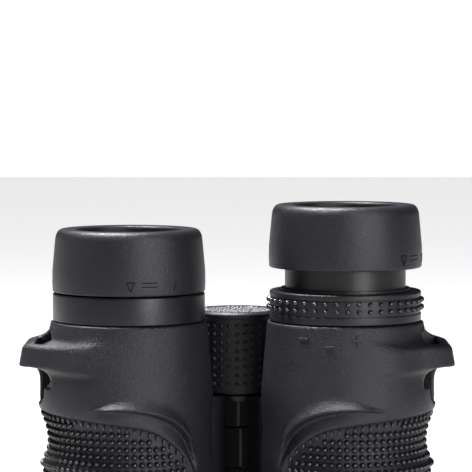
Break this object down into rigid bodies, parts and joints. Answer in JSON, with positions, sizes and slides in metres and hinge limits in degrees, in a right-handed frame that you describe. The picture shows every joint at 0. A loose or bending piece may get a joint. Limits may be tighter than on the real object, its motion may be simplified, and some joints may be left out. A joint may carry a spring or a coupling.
{
  "type": "binoculars",
  "caption": "Roof-prism binoculars with rubber armour, folding centre hinge, focus wheel, diopter ring and twist-up eyecups.",
  "frame": {"origin": "centre of the footprint, on the plane of the two objective rims", "axes": "+Z along the optical axes towards the eyes, +X the user's right barrel, +Y the upper side with the hinge"},
  "size_m": [0.1206, 0.0608, 0.1494],
  "materials": {
    "shell_plastic": "glass-filled polycarbonate, fine mould grain",
    "armour_rubber": "matt moulded rubber with domed grip pips",
    "lug_plastic": "matt black, moulded",
    "tube_metal": "black anodised, matt",
    "pin_steel": "ground",
    "cup_lining": "matt black",
    "cup_rubber": "matt, very fine grain",
    "slip_nylon": "natural black nylon",
    "inner_metal": "black anodised against glare",
    "lens_glass": "polished, green-violet anti-reflection coating",
    "prism_glass": "polished",
    "clip_steel": "spring steel, plain",
    "collar_plastic": "satin black",
    "diopter_rubber": "satin with grip pips",
    "brass": "turned",
    "wheel_metal": "black anodised",
    "wheel_rubber": "matt with rows of grip pips",
    "wheel_plate_metal": "diamond-knurled, bright on black",
    "cap_plastic": "satin black",
    "seal_rubber": "smooth"
  },
  "bodies": {
    "left_barrel": {"left_shell": "shell_plastic", "left_rubber_armour": "armour_rubber", "left_strap_lug": "lug_plastic", "left_eyepiece_tube": "tube_metal", "left_eyecup_guide_pins": "pin_steel", "left_prism_cage": "inner_metal", "left_half_penta_prism": "prism_glass", "left_roof_prism": "prism_glass", "left_prism_clip": "clip_steel", "left_objective_cell": "inner_metal", "left_objective_crown": "lens_glass", "left_objective_flint": "lens_glass", "left_objective_retainer": "inner_metal", "left_ocular_cell": "inner_metal", "left_eye_lens": "lens_glass", "left_ocular_doublet": "lens_glass", "left_field_lens": "lens_glass", "left_ocular_retainer": "inner_metal", "left_collar": "collar_plastic", "drive_sleeve": "shell_plastic", "rear_hinge_pin": "pin_steel", "front_hinge_pin": "pin_steel", "tripod_socket": "brass", "focus_wheel_washer": "brass"},
    "right_barrel": {"right_shell": "shell_plastic", "right_rubber_armour": "armour_rubber", "right_strap_lug": "lug_plastic", "right_eyepiece_tube": "tube_metal", "right_eyecup_guide_pins": "pin_steel", "right_prism_cage": "inner_metal", "right_half_penta_prism": "prism_glass", "right_roof_prism": "prism_glass", "right_prism_clip": "clip_steel", "right_objective_cell": "inner_metal", "right_objective_crown": "lens_glass", "right_objective_flint": "lens_glass", "right_objective_retainer": "inner_metal"},
    "right_ocular_group": {"right_ocular_cell": "inner_metal", "right_eye_lens": "lens_glass", "right_ocular_doublet": "lens_glass", "right_field_lens": "lens_glass", "right_ocular_retainer": "inner_metal"},
    "diopter_ring": {"right_diopter_ring": "diopter_rubber"},
    "left_eyecup_lift_ring": {"left_eyecup_slip_ring": "slip_nylon"},
    "left_eyecup": {"left_eyecup_sleeve": "cup_lining", "left_eyecup_rubber": "cup_rubber"},
    "right_eyecup_lift_ring": {"right_eyecup_slip_ring": "slip_nylon"},
    "right_eyecup": {"right_eyecup_sleeve": "cup_lining", "right_eyecup_rubber": "cup_rubber"},
    "focus_wheel": {"focus_wheel_core": "wheel_metal", "focus_wheel_grip": "wheel_rubber", "focus_wheel_plate": "wheel_plate_metal", "focus_screw": "pin_steel"},
    "focus_spool": {"focus_spool": "brass"},
    "left_focus_group": {"left_focus_cell": "inner_metal", "left_focus_lens": "lens_glass"},
    "right_focus_group": {"right_focus_cell": "inner_metal", "right_focus_lens": "lens_glass"},
    "tripod_cap": {"tripod_cap": "cap_plastic", "tripod_cap_washer": "seal_rubber"}
  },
  "joints": [
    {"name": "barrel_fold", "type": "hinge", "parent": "left_barrel", "child": "right_barrel", "pos_m": [0, 0.01736, 0.068], "axis": [0, 0, 1], "range_deg": [-10.5, 71.1]},
    {"name": "focus_wheel_turn", "type": "hinge", "parent": "left_barrel", "child": "focus_wheel", "pos_m": [0, 0.01736, 0.106], "axis": [0, 0, 1], "range_deg": [-270, 270]},
    {"name": "focus_spool_slide", "type": "slide", "parent": "left_barrel", "child": "focus_spool", "axis": [0, 0, 1], "range_m": [-0.002, 0.002]},
    {"name": "left_focus_slide", "type": "slide", "parent": "left_barrel", "child": "left_focus_group", "axis": [0, 0, 1], "range_m": [-0.002, 0.002]},
    {"name": "right_focus_slide", "type": "slide", "parent": "right_barrel", "child": "right_focus_group", "axis": [0, 0, 1], "range_m": [-0.002, 0.002]},
    {"name": "left_eyecup_lift", "type": "slide", "parent": "left_barrel", "child": "left_eyecup_lift_ring", "axis": [0, 0, 1], "range_m": [0, 0.006]},
    {"name": "left_eyecup_twist", "type": "hinge", "parent": "left_eyecup_lift_ring", "child": "left_eyecup", "pos_m": [-0.0301, -0.00416, 0.134], "axis": [0, 0, 1], "range_deg": [0, 43]},
    {"name": "right_eyecup_lift", "type": "slide", "parent": "right_barrel", "child": "right_eyecup_lift_ring", "axis": [0, 0, 1], "range_m": [-0.006, 0]},
    {"name": "right_eyecup_twist", "type": "hinge", "parent": "right_eyecup_lift_ring", "child": "right_eyecup", "pos_m": [0.0301, -0.00416, 0.141], "axis": [0, 0, 1], "range_deg": [-43, 0]},
    {"name": "diopter_turn", "type": "hinge", "parent": "right_barrel", "child": "diopter_ring", "pos_m": [0.0301, -0.00416, 0.121], "axis": [0, 0, 1], "range_deg": [-40, 40]},
    {"name": "diopter_slide", "type": "slide", "parent": "right_barrel", "child": "right_ocular_group", "axis": [0, 0, 1], "range_m": [-0.001, 0.001]},
    {"name": "tripod_cap_lift", "type": "slide", "parent": "left_barrel", "child": "tripod_cap", "axis": [0, 0, 1], "range_m": [-0.034, 0]}
  ],
  "couplings": [
    {"joint": "focus_wheel_turn", "follows": "focus_spool_slide", "rad_per_m": 2356},
    {"joint": "left_focus_slide", "follows": "focus_spool_slide", "ratio": 1},
    {"joint": "right_focus_slide", "follows": "focus_spool_slide", "ratio": 1},
    {"joint": "left_eyecup_twist", "follows": "left_eyecup_lift", "rad_per_m": 125.08},
    {"joint": "right_eyecup_twist", "follows": "right_eyecup_lift", "rad_per_m": 125.08},
    {"joint": "diopter_turn", "follows": "diopter_slide", "rad_per_m": 698}
  ]
}
